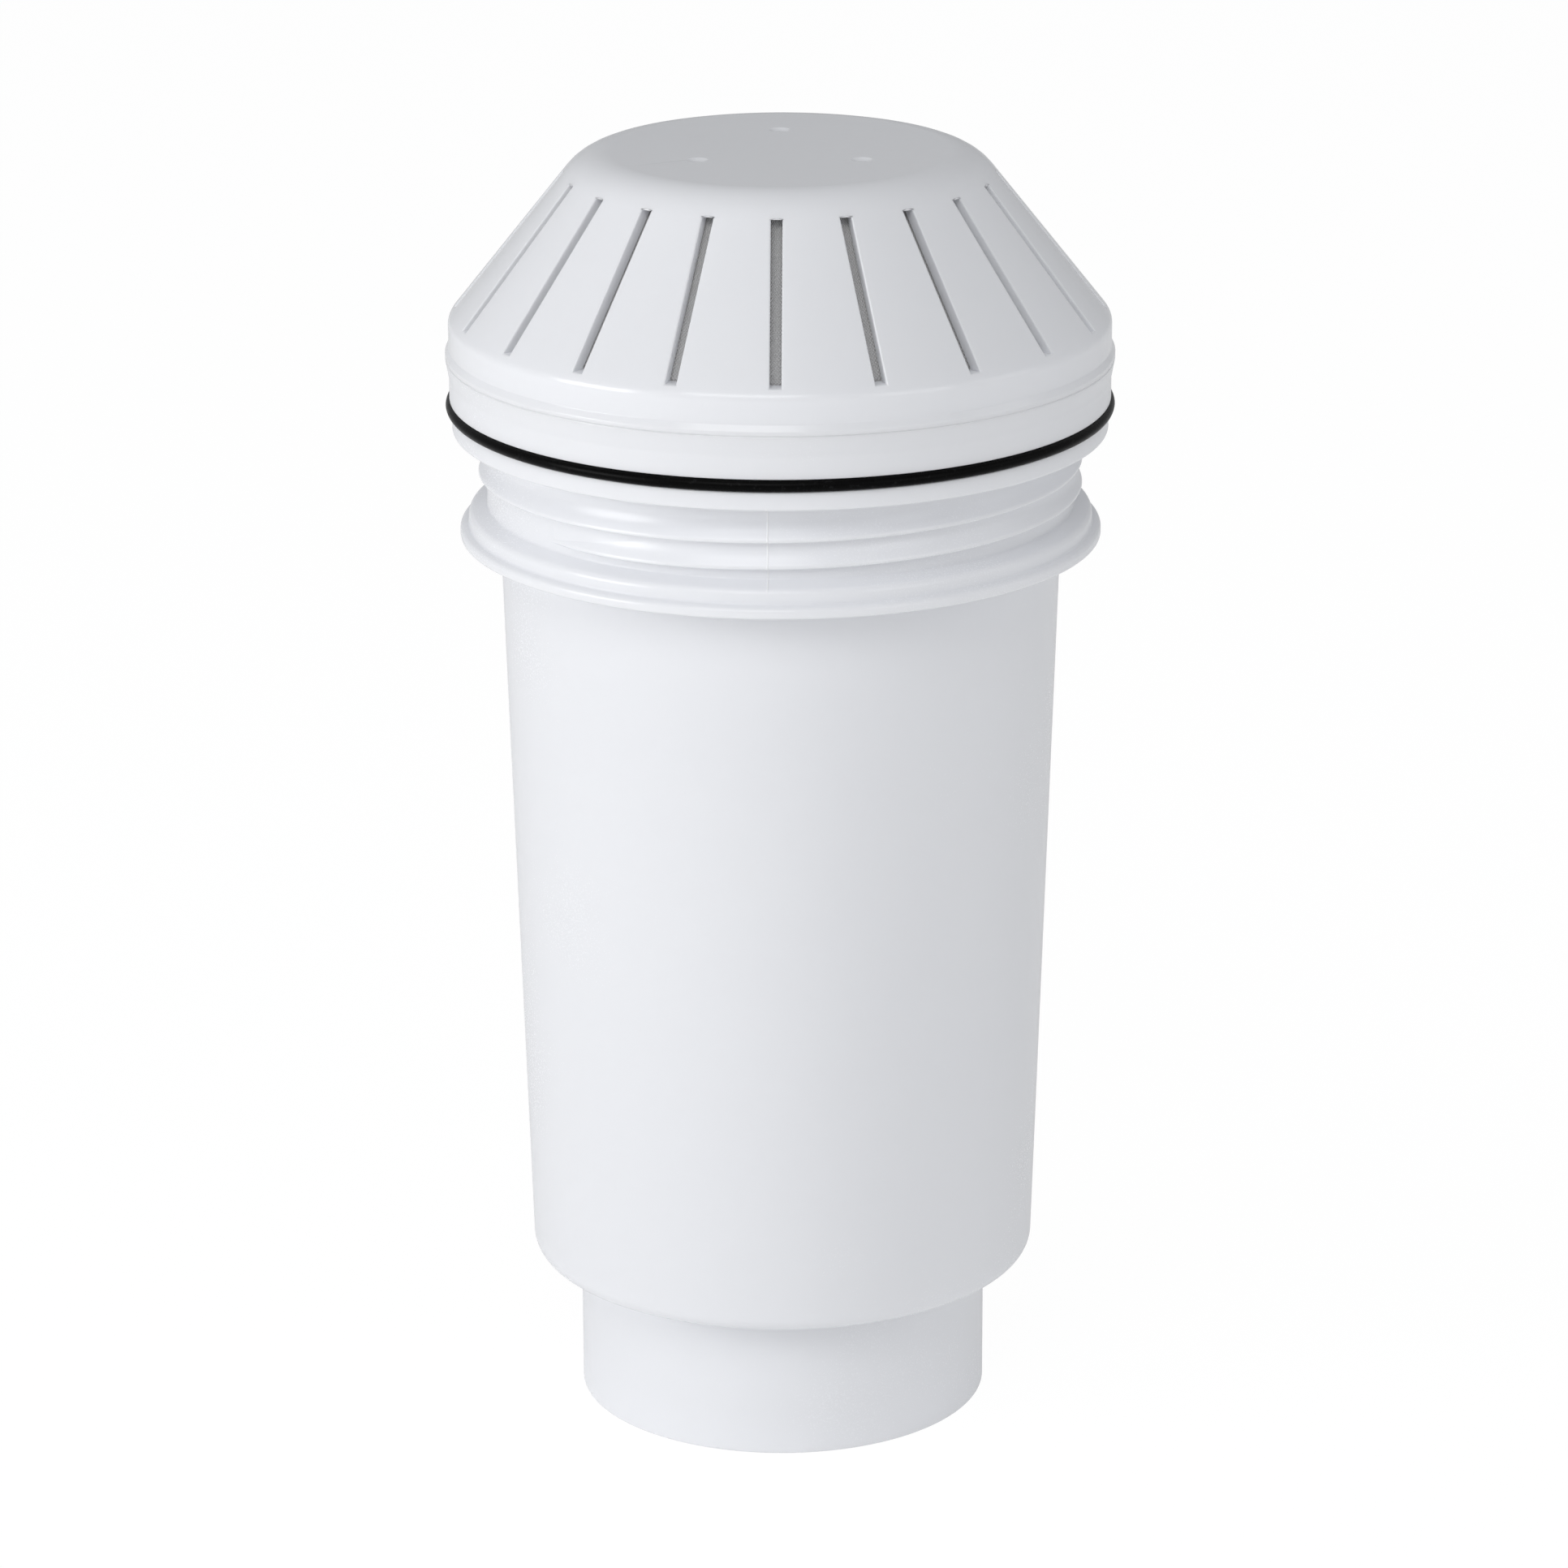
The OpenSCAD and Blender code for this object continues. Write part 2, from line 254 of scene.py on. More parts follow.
def body_r(height):
    """Outer radius of the tapered body at a height."""
    return BODY_TOP_R - (FLANGE_Z - height) * tan(BODY_DRAFT)


def bore_r(height):
    """Inner radius of the tapered body at a height."""
    return body_r(height) - BODY_WALL / cos(BODY_DRAFT)


HOUSING = [
    (0, GRILLE_Z, 0), (SPIGOT_BORE_R, GRILLE_Z, EDGE), (SPIGOT_BORE_R, 0, EDGE),
    (SPIGOT_R, 0, EDGE), (SPIGOT_R, SPIGOT_H, EDGE), (body_r(SPIGOT_H), SPIGOT_H, BODY_CORNER),
    (BODY_TOP_R, FLANGE_Z, EDGE), (FLANGE_R, FLANGE_Z, EDGE),
    (FLANGE_R, FLANGE_Z + FLANGE_T, 2 * EDGE), (STOP_R, STOP_Z, EDGE),
    (STOP_R, STOP_TOP, 3 * EDGE), (NECK_R, NECK_Z, EDGE), (NECK_R, COLLAR_Z, ROOT_FILLET),
    (LOWER_LAND_R, COLLAR_Z, EDGE), (LOWER_LAND_R, GROOVE_Z, EDGE / 2),
    (GROOVE_R, GROOVE_Z, EDGE / 2), (GROOVE_R, GROOVE_TOP, EDGE / 2),
    (LAND_R, GROOVE_TOP, EDGE / 2), (LAND_R, JOINT_Z - JOINT_FLARE, JOINT_FLARE),
    (JOINT_R, JOINT_Z - WELD, WELD), (JOINT_R - WELD / 2, JOINT_Z, 0),
    (REBATE_R, JOINT_Z, 0), (REBATE_R, REBATE_Z, 0), (COLLAR_BORE_R, REBATE_Z, 0),
    (COLLAR_BORE_R, LEDGE_Z, 0), (bore_r(LEDGE_Z), LEDGE_Z, 0),
    (bore_r(FLOOR_TOP), FLOOR_TOP, BODY_CORNER / 2), (SPIGOT_BORE_R, FLOOR_TOP, EDGE),
    (SPIGOT_BORE_R, GRILLE_TOP, 0), (0, GRILLE_TOP, 0),
]
AROUND = 180
housing = lathe("cartridge_housing", held(rounded(HOUSING)), AROUND)
report(housing)

# %% [markdown]
# The water leaves through a grille of radial slots in the floor of the spigot. One slot of each
# ring is a box, spun into its ring as copies, and a boolean takes both rings out of the floor.

# %% The slots of the outlet grille
FRONT = -pi / 2
GRILLE_RINGS = ((10, 5.5), (20, 14.5))
GRILLE_SLOT_W, GRILLE_SLOT_LEN, GRILLE_OVERCUT = 1.4, 6.5, 1


def slot_ring(count, inner_r):
    """A ring of boxes that reach through the floor, as many as the count, in one object."""
    deselect()
    height = GRILLE_TOP - GRILLE_Z + 2 * GRILLE_OVERCUT
    middle = (0, -(inner_r + GRILLE_SLOT_LEN / 2) * MM, (GRILLE_TOP + GRILLE_Z) / 2 * MM)
    bpy.ops.mesh.primitive_cube_add(size=1, location=middle)
    ring = bpy.context.object
    ring.scale = (GRILLE_SLOT_W * MM, GRILLE_SLOT_LEN * MM, height * MM)
    bpy.ops.object.transform_apply(location=True, rotation=True, scale=True)
    bpy.ops.object.mode_set(mode="EDIT")
    bpy.ops.mesh.select_all(action="SELECT")
    bpy.ops.mesh.spin(steps=count - 1, angle=2 * pi * (count - 1) / count, dupli=True,
                      center=(0, 0, 0), axis=(0, 0, 1))
    bpy.ops.object.mode_set(mode="OBJECT")
    return ring


for count, inner_r in GRILLE_RINGS:
    blend(housing, slot_ring(count, inner_r), "DIFFERENCE")
report(housing)

# %% [markdown]
# The neck has a right-hand thread of one start, steep below and gently sloped above, as a
# moulded closure thread is. Its section is drawn once and a Screw modifier winds it up the neck.
# The two ends then sink back into the neck, as a thread mould runs out.

# %% The thread of the neck
PITCH = 3.4
THREAD_START, THREAD_END = radians(-150), radians(450)
THREAD_FRONT_Z = 124.4
CREST_R = 39.0
ROOT_R, SKIN_R = NECK_R - 0.4, NECK_R - 0.02
RIDGE_LOW, RIDGE_HIGH = -0.2, 3.1
RIDGE = [
    (ROOT_R, RIDGE_LOW, 0), (CREST_R, 0.0, 0.28), (CREST_R - 0.05, 0.45, 0.6),
    (SKIN_R, 1.9, 3.5), (SKIN_R, RIDGE_HIGH, 0), (ROOT_R, RIDGE_HIGH, 0),
    (ROOT_R, RIDGE_LOW, 0),
]
WINDING_STEPS = 300


def screw_section():
    """The section of the ridge as a closed line of edges, without a face."""
    points = rounded(RIDGE)[:-1]
    piece = thread_points("neck_thread_ridge", points)
    bpy.ops.mesh.edge_face_add()
    bpy.ops.mesh.delete(type="ONLY_FACE")
    bpy.ops.object.mode_set(mode="OBJECT")
    return piece


def at_azimuth(piece, angle, lift):
    """Turns a piece about the axis and lifts it, with its place kept in its mesh."""
    only(piece)
    piece.rotation_euler = (0, 0, angle)
    piece.location = (0, 0, lift * MM)
    bpy.ops.object.transform_apply(location=True, rotation=True, scale=True)


ridge = screw_section()
winding = ridge.modifiers.new("winding", "SCREW")
winding.axis = "Z"
winding.angle = THREAD_END - THREAD_START
winding.screw_offset = PITCH * MM * (THREAD_END - THREAD_START) / (2 * pi)
winding.steps = winding.render_steps = WINDING_STEPS
winding.use_merge_vertices = False
only(ridge)
bpy.ops.object.modifier_apply(modifier=winding.name)
first_z = THREAD_FRONT_Z + PITCH * (THREAD_START - FRONT) / (2 * pi)
at_azimuth(ridge, THREAD_START, first_z)
report(ridge)

# %% Run the two ends of the thread out
RUN_OUT, SINK = radians(34), 1.35
MIDDLE_TURN = (RIDGE_LOW + RIDGE_HIGH) / 2 / PITCH * 2 * pi
section_size = len(rounded(RIDGE)) - 1
rings = len(ridge.data.vertices) // section_size
print("the ridge has", rings, "sections of", section_size, "points")


def run_out(ridge):
    """Sinks the ends of the ridge under the skin of the neck.

    The height of a vertex tells which turn it is on, and its azimuth where it is in that turn."""
    for vertex in ridge.data.vertices:
        radius = hypot(vertex.co.x, vertex.co.y)
        azimuth = atan2(vertex.co.y, vertex.co.x)
        base = (vertex.co.z / MM - THREAD_FRONT_Z) / PITCH * 2 * pi + FRONT
        angle = azimuth + 2 * pi * round((base - MIDDLE_TURN - azimuth) / (2 * pi))
        left = min(angle - THREAD_START, THREAD_END - angle) / RUN_OUT
        share = min(1.0, max(0.0, left))
        share = share * share * (3 - 2 * share)
        wanted = radius - SINK * MM * (1 - share)
        vertex.co.x *= wanted / radius
        vertex.co.y *= wanted / radius


run_out(ridge)
only(ridge)
bpy.ops.object.mode_set(mode="EDIT")
bpy.ops.mesh.select_all(action="SELECT")
bpy.ops.mesh.region_to_loop()
bpy.ops.mesh.edge_face_add()
bpy.ops.object.mode_set(mode="OBJECT")
close_up(ridge, RIDGE_SMOOTH)
report(ridge)
blend(housing, ridge, "UNION")
bpy.ops.object.shade_smooth_by_angle(angle=FILLET_SMOOTH)
report(housing)

# %% [markdown]
# The strainer cap is welded on the collar by a tongue that goes into it. Its cone has twenty
# long slots. They are open to the inside, so both skins of the wall need them. One sector of
# the cap, with one slot, is made first, and the others are copies of it.

# %% The outline of the strainer cap
CAP_Z, CAP_TOP_R, CONE_FOOT_Z = 168.75, 25.35, 147.15
CONE_WALL, CAP_TOP_WALL, SKIRT_BORE_R = 1.6, 1.8, 39.6
CONE_SLOPE = (CAP_Z - CONE_FOOT_Z) / (LAND_R - CAP_TOP_R)
CAP_EDGE_R, CAP_SHOULDER_R = 6.9, 1.5
CAP_RIM_H, CAP_STEP_H = 0.6, 1.4
TONGUE_Z, TONGUE_R = 139.9, 41.1
SLOT_COUNT, SLOT_W, SLOT_TURN = 20, 1.45, radians(-0.8)
SLOT_LOW_Z, SLOT_HIGH_Z = JOINT_Z + 5.7, CAP_Z - 2.85


def cone_z(radius, depth):
    """Height of the cone's skin at a radius, the given depth under its outer skin."""
    slant = hypot(CAP_Z - CONE_FOOT_Z, LAND_R - CAP_TOP_R) / (LAND_R - CAP_TOP_R)
    return CONE_FOOT_Z + (LAND_R - radius) * CONE_SLOPE - depth * slant


def cone_bore_r(height):
    """Radius of the cone's inner skin at a height."""
    return LAND_R - (height - cone_z(LAND_R, CONE_WALL)) / CONE_SLOPE


CAP = [
    (TONGUE_R - EDGE / 2, TONGUE_Z, 0), (TONGUE_R, TONGUE_Z + EDGE / 2, 0),
    (TONGUE_R, JOINT_Z, 0), (JOINT_R - WELD / 2, JOINT_Z, 0),
    (JOINT_R, JOINT_Z + WELD, WELD), (JOINT_R, JOINT_Z + CAP_RIM_H, EDGE),
    (LAND_R, JOINT_Z + CAP_STEP_H, EDGE), (LAND_R, CONE_FOOT_Z, CAP_SHOULDER_R),
    (CAP_TOP_R, CAP_Z, CAP_EDGE_R), (0, CAP_Z, 0), (0, CAP_Z - CAP_TOP_WALL, 0),
    (cone_bore_r(CAP_Z - CAP_TOP_WALL), CAP_Z - CAP_TOP_WALL, CAP_EDGE_R / 2),
    (SKIRT_BORE_R, cone_z(SKIRT_BORE_R, CONE_WALL), CAP_SHOULDER_R / 2),
    (SKIRT_BORE_R, TONGUE_Z, EDGE / 2),
    (TONGUE_R - EDGE / 2, TONGUE_Z, 0),
]
cap_points = held(rounded(CAP))
print("the cone leans", round(90 - degrees(atan2(CONE_SLOPE, 1)), 2), "degrees from upright")

# %% [markdown]
# For clean walls, both skins get a row of vertices at the same heights from the lower to the
# upper end of the slot. The outline is cut by level lines at all of those heights.

# %% Put rows on both skins where the slot runs
LEVEL_GAP, ROW_GAP = 0.002, 0.05


def levelled(points, heights):
    """Adds a point wherever the outline crosses one of the heights."""
    result = [points[0]]
    for start, end in zip(points, points[1:]):
        inside = [height for height in heights
                  if min(start.y, end.y) + LEVEL_GAP < height < max(start.y, end.y) - LEVEL_GAP]
        for height in sorted(inside, reverse=end.y < start.y):
            result.append(start.lerp(end, (height - start.y) / (end.y - start.y)))
        result.append(end)
    return result


slot_rows = sorted({round(point.y, 3) for point in cap_points
                    if SLOT_LOW_Z + ROW_GAP < point.y < SLOT_HIGH_Z - ROW_GAP}
                   | {SLOT_LOW_Z, SLOT_HIGH_Z})
cap_points = levelled(cap_points, slot_rows)
print("the slot has", len(slot_rows), "rows on each skin")

# %% Spin one sector with the slot in its middle
SECTOR, SECTOR_STEPS = 2 * pi / SLOT_COUNT, 10
sector = thread_points("strainer_cap_cone", cap_points)
bpy.ops.mesh.spin(steps=SECTOR_STEPS, angle=SECTOR, center=(0, 0, 0), axis=(0, 0, 1))
bpy.ops.object.mode_set(mode="OBJECT")
middle = sum((vertex.co for vertex in sector.data.vertices), Vector())
at_azimuth(sector, -atan2(middle.y, middle.x), 0)
report(sector)

# %% [markdown]
# Two upright planes, beside the axis, cut the rows of the slot to its exact width. The faces
# between them go, and a bridge from skin to skin gives the slot its four walls. A small bevel
# softens the outer rim of the slot, which catches a thin line of light in the photograph.

# %% Cut the slot into the sector
NEAR, CUT_DOUBLES, RIM_BEVEL = 0.01, 0.0001, 0.16


def in_slot_rows(middle):
    return SLOT_LOW_Z < middle.z < SLOT_HIGH_Z and middle.x < LAND_R + NEAR


def between_walls(middle):
    return in_slot_rows(middle) and abs(middle.y) < SLOT_W / 2


for side in (-1, 1):
    pick(sector, "polygons", in_slot_rows)
    bpy.ops.mesh.bisect(plane_co=(0, side * SLOT_W / 2 * MM, 0), plane_no=(0, 1, 0),
                        threshold=CUT_DOUBLES * MM)
    bpy.ops.object.mode_set(mode="OBJECT")
pick(sector, "polygons", between_walls)
bpy.ops.mesh.delete(type="FACE")
bpy.ops.object.mode_set(mode="OBJECT")


def on_rim(middle):
    """True for the middle of an edge on either rim of the opening."""
    beside = abs(abs(middle.y) - SLOT_W / 2) < NEAR
    within = SLOT_LOW_Z - NEAR < middle.z < SLOT_HIGH_Z + NEAR
    end = min(abs(middle.z - SLOT_LOW_Z), abs(middle.z - SLOT_HIGH_Z)) < NEAR
    return within and (beside or (end and abs(middle.y) < SLOT_W / 2 + NEAR))


pick(sector, "edges", on_rim)
bpy.ops.mesh.bridge_edge_loops()
bpy.ops.object.mode_set(mode="OBJECT")


def on_outer_rim(middle):
    """True for the middle of an edge on the rim in the outer skin."""
    depth = LAND_R - (middle.z - CONE_FOOT_Z) / CONE_SLOPE - hypot(middle.x, middle.y)
    return on_rim(middle) and depth < CONE_WALL / 2


pick(sector, "edges", on_outer_rim)
bpy.ops.mesh.bevel(offset=RIM_BEVEL * MM, segments=2, affect="EDGES")
bpy.ops.object.mode_set(mode="OBJECT")
report(sector)

# %% Copy the sector round the cap
only(sector)
bpy.ops.object.mode_set(mode="EDIT")
bpy.ops.mesh.select_all(action="SELECT")
bpy.ops.mesh.spin(steps=SLOT_COUNT - 1, angle=2 * pi - SECTOR, dupli=True,
                  center=(0, 0, 0), axis=(0, 0, 1))
bpy.ops.object.mode_set(mode="OBJECT")
cap = sector
at_azimuth(cap, FRONT + SLOT_TURN, 0)
close_up(cap)
report(cap)

# %% [markdown]
# Three small round marks on the flat top are where the plastic was let into the mould. Each is
# a shallow dish, taken out of the top by a boolean.

# %% The marks on the flat top
GATE_COUNT, GATE_CIRCLE_R, GATE_R, GATE_DEPTH, GATE_ABOVE = 3, 12.0, 1.4, 0.3, 0.3
GATE = [
    (0, -GATE_DEPTH, 0), (GATE_R * 0.45, -GATE_DEPTH, 0.6), (GATE_R, 0, 0),
    (GATE_R + 0.2, GATE_ABOVE, 0), (0, GATE_ABOVE, 0),
]
GATE_AROUND = 32
for k in range(GATE_COUNT):
    dish = lathe("gate_dish", rounded(GATE), GATE_AROUND)
    azimuth = pi / 2 + k * 2 * pi / GATE_COUNT
    only(dish)
    dish.location = (GATE_CIRCLE_R * cos(azimuth) * MM, GATE_CIRCLE_R * sin(azimuth) * MM,
                     CAP_Z * MM)
    bpy.ops.object.transform_apply(location=True, rotation=True, scale=True)
    blend(cap, dish, "DIFFERENCE")
only(cap)
bpy.ops.object.shade_smooth_by_angle(angle=CAP_SMOOTH)
report(cap)

# %% [markdown]
# The seal is a rubber O-ring. Its cord is turned with a fine round section, and a hair of mould
# flash runs round its widest line.

# %% The O-ring
SEAL_D, FLASH = 1.56, 0.02
CORD_STEPS, SEAL_AROUND = 24, 192
seal_low, seal_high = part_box("o_ring")
SEAL_R = seal_high.x / MM - SEAL_D / 2
SEAL_Z = (seal_low.z + seal_high.z) / 2 / MM
section = [Vector((SEAL_R + SEAL_D / 2 * cos(2 * pi * k / CORD_STEPS),
                   SEAL_Z + SEAL_D / 2 * sin(2 * pi * k / CORD_STEPS)))
           for k in range(CORD_STEPS + 1)]
section[0].x += FLASH
section[-1].x += FLASH
seal = lathe("seal_ring", section, SEAL_AROUND)
report(seal)

# %% [markdown]
# Each new piece rides on the one body of the cartridge and stands for its solid.

# %% Name what each piece stands for
for piece, node, slot in ((housing, "housing", "housing_plastic"),
                          (cap, "strainer_cap", "cap_plastic"),
                          (seal, "o_ring", "seal_rubber")):
    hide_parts(node)
    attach(piece, "root")
    print(piece.name, "stands for", node)

# %% [markdown]
# Shader maths is easier to read as arithmetic. Wire wraps one socket of a material, and an
# operator on it adds a Math node. Finish makes the material and any other node.

# %% Two helpers for materials
MIX_FACTOR, MIX_A, MIX_B, MIX_COLOUR = 0, 6, 7, 2


class Wire:
    """One output of a node, on which arithmetic adds Math nodes."""

    def __init__(self, finish, socket):
        self.finish = finish
        self.socket = socket

    def maths(self, operation, *others):
        return self.finish.add("ShaderNodeMath", {"operation": operation},
                               dict(enumerate((self,) + others)))

    def __add__(self, other):
        return self.maths("ADD", other)

    def __radd__(self, other):
        return self.maths("ADD", other)

    def __sub__(self, other):
        return self.maths("SUBTRACT", other)

    def __rsub__(self, other):
        return (self * -1).maths("ADD", other)

    def __mul__(self, other):
        return self.maths("MULTIPLY", other)

    def __gt__(self, other):
        return self.maths("GREATER_THAN", other)

    def __lt__(self, other):
        return self.maths("LESS_THAN", other)


class Finish:
    """A material for one finish of the cartridge."""

    def __init__(self, name):
        self.material = bpy.data.materials.new(name)
        self.material.use_nodes = True
        self.nodes = self.material.node_tree.nodes
        self.links = self.material.node_tree.links
        self.shader = self.nodes["Principled BSDF"]
        self.place = self.add("ShaderNodeTexCoord", {}, {}, "Object")

    def add(self, kind, settings, inputs, output=0):
        """A new node with its settings and inputs, as a wire from one of its outputs."""
        node = self.nodes.new(kind)
        for name, value in settings.items():
            setattr(node, name, value)
        for name, value in inputs.items():
            self.feed(node.inputs[name], value)
        return Wire(self, node.outputs[output])

    def feed(self, socket, value):
        if isinstance(value, Wire):
            self.links.new(value.socket, socket)
        else:
            socket.default_value = value

    def set(self, name, value):
        self.feed(self.shader.inputs[name], value)

    def noise(self, size, detail=2, roughness=0.5):
        """A noise from 0 to 1 with blobs of a size in millimetres."""
        return self.add("ShaderNodeTexNoise", {}, {
            "Vector": self.place, "Scale": 1 / (size * MM), "Detail": detail,
            "Roughness": roughness})

    def axis(self, name):
        """One coordinate of the surface, in millimetres."""
        return self.add("ShaderNodeSeparateXYZ", {}, {"Vector": self.place}, name) * (1 / MM)

    def shades(self, factor, dark, light):
        """A colour between two, by a factor from 0 to 1."""
        mix = self.nodes.new("ShaderNodeMix")
        mix.data_type = "RGBA"
        self.feed(mix.inputs[MIX_FACTOR], factor)
        self.feed(mix.inputs[MIX_A], dark)
        self.feed(mix.inputs[MIX_B], light)
        return Wire(self, mix.outputs[MIX_COLOUR])

    def between(self, value, low, high, soft):
        """1 where a value lies between two others, with soft ends."""
        rise = self.add("ShaderNodeMapRange", {"interpolation_type": "SMOOTHSTEP"}, {
            "Value": value, "From Min": low - soft, "From Max": low + soft})
        fall = self.add("ShaderNodeMapRange", {"interpolation_type": "SMOOTHSTEP"}, {
            "Value": value, "From Min": high - soft, "From Max": high + soft})
        return rise * (1 - fall)

    def bump(self, height, depth):
        """Raises the surface by a height from 0 to 1, times a depth in millimetres."""
        self.set("Normal", self.add("ShaderNodeBump", {}, {
            "Height": height, "Distance": depth * MM, "Strength": 1.0}, "Normal"))


def wear(piece, finish):
    """Gives a piece one finish in place of what it had."""
    piece.data.materials.clear()
    piece.data.materials.append(finish.material)


print("material helpers ready")

# %% [markdown]
# The housing and the cap are white moulded polypropylene. It is smooth with a soft sheen, so
# the light shows on it as broad pale bands. The colour is a cool white that drifts a little
# where the melt flowed, and the skin has a faint orange peel. A mould line runs up the neck as
# a fine raised ridge, and its colour is painted lighter than the white: a painted highlight.

# %% White moulded plastic
WHITE_LOW = (0.80, 0.81, 0.84, 1)
WHITE_HIGH = (0.83, 0.84, 0.865, 1)
# The lighter colour of the mould line: a painted highlight along its ridge.
LINE_HIGHLIGHT_WHITE = (0.93, 0.93, 0.94, 1)
HOUSING_ROUGHNESS, CAP_ROUGHNESS, PLASTIC_IOR = 0.26, 0.17, 1.49
CLOUD_SIZE, GRAIN_SIZE, HOUSING_PEEL, CAP_PEEL, PEEL_DEPTH = 38, 0.22, 1.7, 1.4, 0.008
SCATTER_SHARE, SCATTER_DEPTH = 0.3, 2
LINE_TURN, LINE_HALF, LINE_SOFT, LINE_END = radians(2.4), 0.09, 0.05, 0.2


def white_plastic(name, roughness):
    """The finish of both mouldings, with its cloudy drift and its fine grain."""
    finish = Finish(name)
    drift = finish.noise(CLOUD_SIZE, 3)
    grain = finish.noise(GRAIN_SIZE, 2, 0.6)
    finish.set("Roughness", roughness + (drift - 0.5) * 0.06 + (grain - 0.5) * 0.05)
    finish.set("IOR", PLASTIC_IOR)
    finish.set("Subsurface Weight", SCATTER_SHARE)
    finish.set("Subsurface Radius", (1, 1, 1))
    finish.set("Subsurface Scale", SCATTER_DEPTH * MM)
    return finish, drift, grain


plastic, drift, grain = white_plastic("white_housing_plastic", HOUSING_ROUGHNESS)
across = plastic.axis("X") * cos(LINE_TURN) + plastic.axis("Y") * -sin(LINE_TURN)
mould_line = (plastic.between(across, -LINE_HALF, LINE_HALF, LINE_SOFT)
              * plastic.between(plastic.axis("Z"), NECK_Z - 1, COLLAR_Z + LINE_END, LINE_END))
colour = plastic.shades(drift, WHITE_LOW, WHITE_HIGH)
# The mould line is a real bump, and its lighter colour is a painted highlight along it.
plastic.set("Base Color", plastic.shades(mould_line * 0.6, colour, LINE_HIGHLIGHT_WHITE))
plastic.bump(plastic.noise(HOUSING_PEEL, 1) * 0.5 + grain * 0.12 + mould_line * 6, PEEL_DEPTH)
wear(housing, plastic)

plastic, drift, grain = white_plastic("white_cap_plastic", CAP_ROUGHNESS)
plastic.set("Base Color", plastic.shades(drift, WHITE_LOW, WHITE_HIGH))
plastic.bump(plastic.noise(CAP_PEEL, 1) * 0.5 + grain * 0.15, PEEL_DEPTH)
wear(cap, plastic)
print("white plastic on", housing.name, "and", cap.name)

# %% [markdown]
# The seal is black rubber with hardly any sheen. Fine pores roughen its skin, and a noise
# draws a few specks of dark grey on it.

# %% Black rubber
RUBBER_BLACK, RUBBER_SPECKLE_GREY = (0.002, 0.002, 0.002, 1), (0.02, 0.02, 0.021, 1)
SPECKLE_SIZE, PORE_SIZE, SPECKLE_LEVEL, PORE_DEPTH = 1.1, 0.12, 0.62, 0.02
RUBBER_SHEEN = 0.05
rubber = Finish("black_seal_rubber")
speckle = rubber.noise(SPECKLE_SIZE, 4, 0.7)
pores = rubber.noise(PORE_SIZE, 2, 0.6)
# A few specks of dark grey are drawn where the noise is high.
rubber.set("Base Color", rubber.shades((speckle > SPECKLE_LEVEL) * 0.35, RUBBER_BLACK, RUBBER_SPECKLE_GREY))
rubber.set("Roughness", 0.3 + (speckle - 0.5) * 0.3 + (pores - 0.5) * 0.2)
rubber.set("Specular IOR Level", RUBBER_SHEEN)
rubber.bump(pores * 0.5 + speckle * 0.5, PORE_DEPTH)
wear(seal, rubber)
print("rubber on", seal.name)

# %% [markdown]
# Of the pieces inside, only the woven sleeve shows, through the slots. Their solids are right as
# they are, so they keep their meshes and get a finish each: a plain frame, woven nylon, open
# foam, soft felt, black carbon granules and amber resin beads.

# %% Finishes of the pieces inside
THREAD_LINE, THREAD_DEPTH = 0.35, 0.12


def plain_plastic(name, dark, light):
    finish = Finish(name)
    finish.set("Base Color", finish.shades(finish.noise(9, 3), dark, light))
    finish.set("Roughness", 0.45 + (finish.noise(0.4) - 0.5) * 0.2)
    finish.bump(finish.noise(0.3, 2), 0.01)
    return finish


def woven(name, thread_gap, dark, light, threads_around=0):
    """A plain weave: two sets of threads that rise and dip over each other.

    Round a sleeve, the one set stands upright and is counted, and the other lies in rings."""
    finish = Finish(name)
    turn = 2 * pi / thread_gap
    if threads_around:
        azimuth = finish.axis("Y").maths("ARCTAN2", finish.axis("X"))
        warp = (azimuth * threads_around).maths("SINE")
        weft = (finish.axis("Z") * turn).maths("SINE")
    else:
        warp = (finish.axis("X") * turn).maths("SINE")
        weft = (finish.axis("Y") * turn).maths("SINE")
    crown = warp * weft * 0.5 + 0.5
    hole = (warp.maths("ABSOLUTE") < THREAD_LINE) * (weft.maths("ABSOLUTE") < THREAD_LINE)
    # Painted shade: darker in the dips where a thread passes under another, darkest in the gaps.
    finish.set("Base Color", finish.shades(crown * (1 - hole * 0.8), dark, light))
    finish.set("Roughness", 0.5 + (1 - crown) * 0.3)
    finish.bump(crown * (1 - hole), THREAD_DEPTH)
    return finish


def fibrous(name, size, dark, light, depth):
    """Tangled fibres of a size, with paler and darker clouds in them."""
    finish = Finish(name)
    cloud = finish.noise(size * 8, 3)
    fibre = finish.noise(size, 5, 0.75)
    finish.set("Base Color", finish.shades(cloud * 0.4 + fibre * 0.6, dark, light))
    finish.set("Roughness", 0.8 + (fibre - 0.5) * 0.3)
    finish.bump(fibre, depth)
    return finish


def granular(name, size, dark, light, roughness, depth):
    """Loose grains on Voronoi cells, tinted by a noise, with painted shade where they meet."""
    finish = Finish(name)
    cells = finish.add("ShaderNodeTexVoronoi", {}, {
        "Vector": finish.place, "Scale": 1 / (size * MM)}, "Distance")
    tint = finish.noise(size * 1.6, 2)
    # Painted shade: each grain's colour darkens towards its edges, where it meets the next.
    finish.set("Base Color", finish.shades(tint * (1 - cells * 0.7), dark, light))
    finish.set("Roughness", roughness + (tint - 0.5) * 0.3)
    finish.bump(1 - cells, depth)
    return finish


